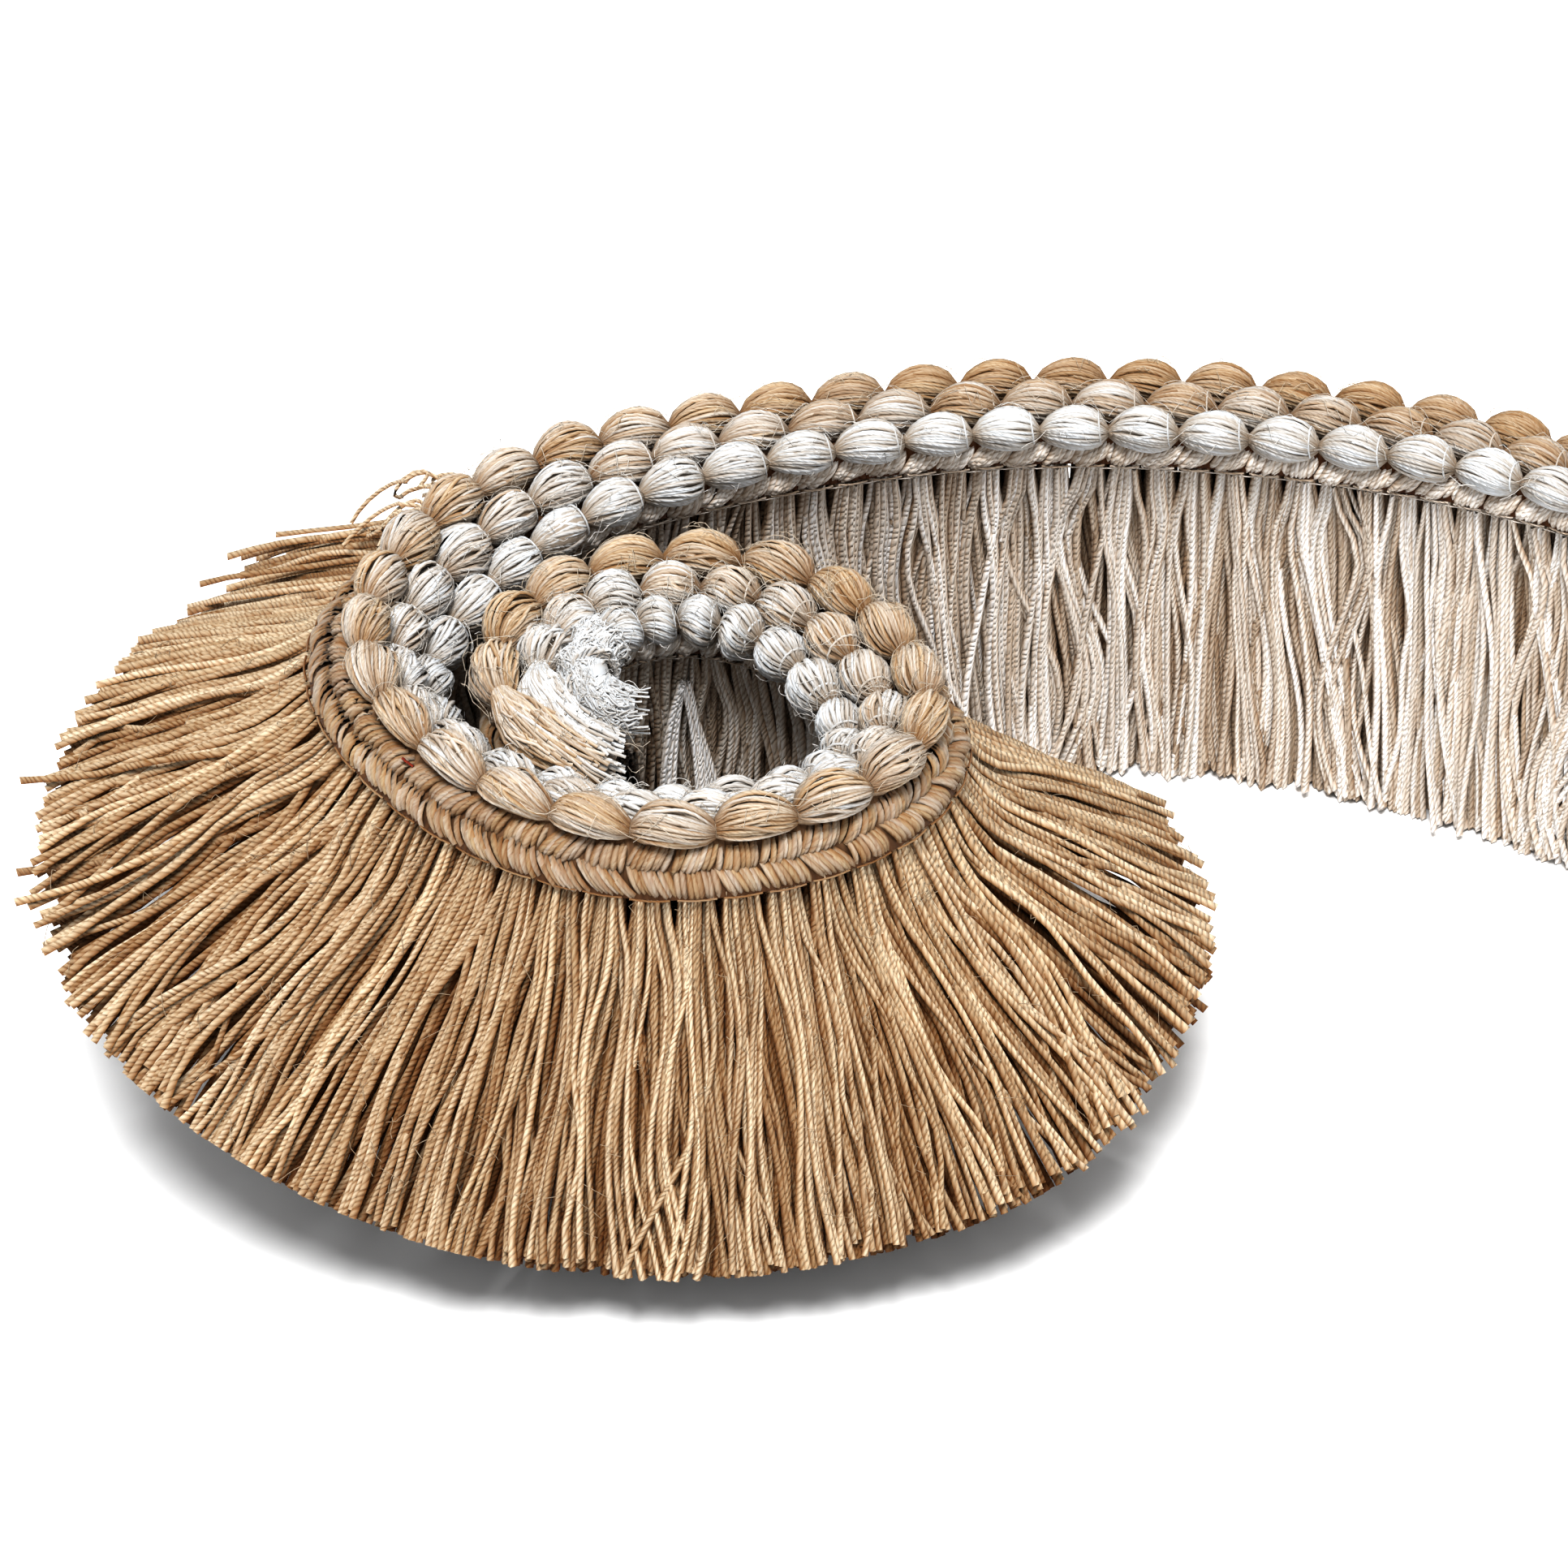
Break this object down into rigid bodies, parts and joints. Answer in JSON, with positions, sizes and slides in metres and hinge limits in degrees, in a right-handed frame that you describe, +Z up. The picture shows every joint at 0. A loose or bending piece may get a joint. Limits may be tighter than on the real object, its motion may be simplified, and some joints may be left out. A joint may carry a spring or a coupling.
{
  "type": "pompom fringe trim",
  "caption": "Length of cut yarn fringe trim rolled into a coil with a free tail: rows of yarn puffs over a woven band, standing on the tips of its brushed fringe.",
  "frame": {"origin": "on the surface it stands on, under the middle of the part's box", "axes": "+Z up; +X from the coil towards the tail's cut end, the part's longest side; -Y towards the front of the coil"},
  "size_m": [0.2181, 0.1302, 0.0604],
  "materials": {
    "tan_yarn": "matt twisted yarn with a slight sheen",
    "mixed_yarn": "matt twisted yarn, tan and white strands together",
    "white_yarn": "matt twisted yarn with a slight sheen",
    "woven_band": "matt woven yarn",
    "outer_fringe_yarn": "matt cut yarn, tan",
    "inner_fringe_yarn": "matt cut yarn, greyish white"
  },
  "bodies": {
    "root": {"puff_row_tan": "tan_yarn", "puff_row_mixed": "mixed_yarn", "puff_row_white": "white_yarn", "heading_band": "woven_band", "outer_fringe_01": "outer_fringe_yarn", "outer_fringe_02": "outer_fringe_yarn", "outer_fringe_03": "outer_fringe_yarn", "outer_fringe_04": "outer_fringe_yarn", "outer_fringe_05": "outer_fringe_yarn", "outer_fringe_06": "outer_fringe_yarn", "outer_fringe_07": "outer_fringe_yarn", "outer_fringe_08": "outer_fringe_yarn", "outer_fringe_09": "outer_fringe_yarn", "outer_fringe_10": "outer_fringe_yarn", "outer_fringe_11": "outer_fringe_yarn", "outer_fringe_12": "outer_fringe_yarn", "outer_fringe_13": "outer_fringe_yarn", "outer_fringe_14": "outer_fringe_yarn", "outer_fringe_15": "outer_fringe_yarn", "outer_fringe_16": "outer_fringe_yarn", "inner_fringe_01": "inner_fringe_yarn", "inner_fringe_02": "inner_fringe_yarn", "inner_fringe_03": "inner_fringe_yarn", "inner_fringe_04": "inner_fringe_yarn", "inner_fringe_05": "inner_fringe_yarn", "inner_fringe_06": "inner_fringe_yarn", "inner_fringe_07": "inner_fringe_yarn", "inner_fringe_08": "inner_fringe_yarn", "inner_fringe_09": "inner_fringe_yarn", "inner_fringe_10": "inner_fringe_yarn", "inner_fringe_11": "inner_fringe_yarn", "inner_fringe_12": "inner_fringe_yarn", "inner_fringe_13": "inner_fringe_yarn", "inner_fringe_14": "inner_fringe_yarn", "inner_fringe_15": "inner_fringe_yarn", "inner_fringe_16": "inner_fringe_yarn"}
  },
  "joints": []
}
